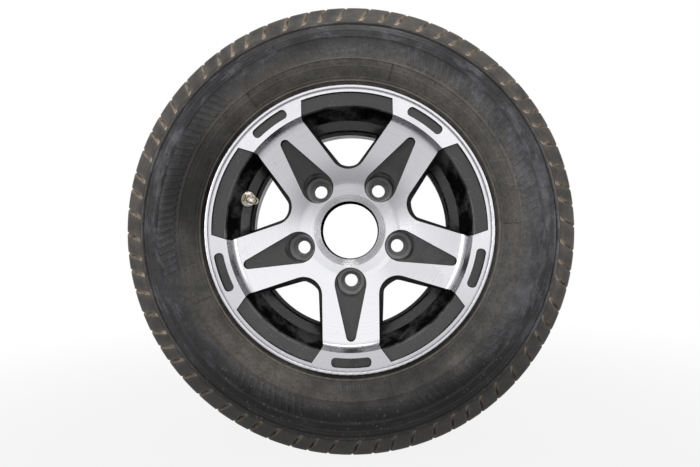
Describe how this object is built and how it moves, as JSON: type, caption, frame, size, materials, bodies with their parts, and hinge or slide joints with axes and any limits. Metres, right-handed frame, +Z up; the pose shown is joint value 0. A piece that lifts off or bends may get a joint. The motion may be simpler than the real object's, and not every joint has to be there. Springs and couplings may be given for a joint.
{
  "type": "trailer wheel and tyre",
  "caption": "Small trailer wheel: cast alloy rim with broad machined spokes and black pockets, fitted with a radial light-truck tyre and a metal clamp-in valve.",
  "frame": {"origin": "the wheel's centre, on its axis and midway between the rim flanges", "axes": "+Y along the axis, pointing inboard to the hub; -Y is the machined face; +Z up, with one spoke pointing down"},
  "size_m": [0.4684, 0.201, 0.4684],
  "materials": {
    "rim": "satin",
    "tyre": "matte",
    "valve_metal": "satin",
    "valve_steel": "satin",
    "core_brass": "satin",
    "seal_rubber": "matte"
  },
  "bodies": {
    "wheel": {"rim": "rim", "tyre": "tyre", "valve_stem": "valve_metal", "valve_nut": "valve_metal", "valve_washer": "valve_steel", "valve_grommet": "seal_rubber", "core_plug": "core_brass", "core_gasket": "seal_rubber", "core_barrel": "core_brass", "core_spring": "valve_steel"},
    "valve_pin": {"core_pin": "core_brass", "core_cup": "core_brass", "core_seal": "seal_rubber"}
  },
  "joints": [
    {"name": "valve_press", "type": "slide", "parent": "wheel", "child": "valve_pin", "axis": [-0.6113, 0.766, 0.1986], "range_m": [0, 0.0012], "stiffness_N_per_m": 400, "springref_m": -0.003, "deforming": ["core_spring"]}
  ]
}
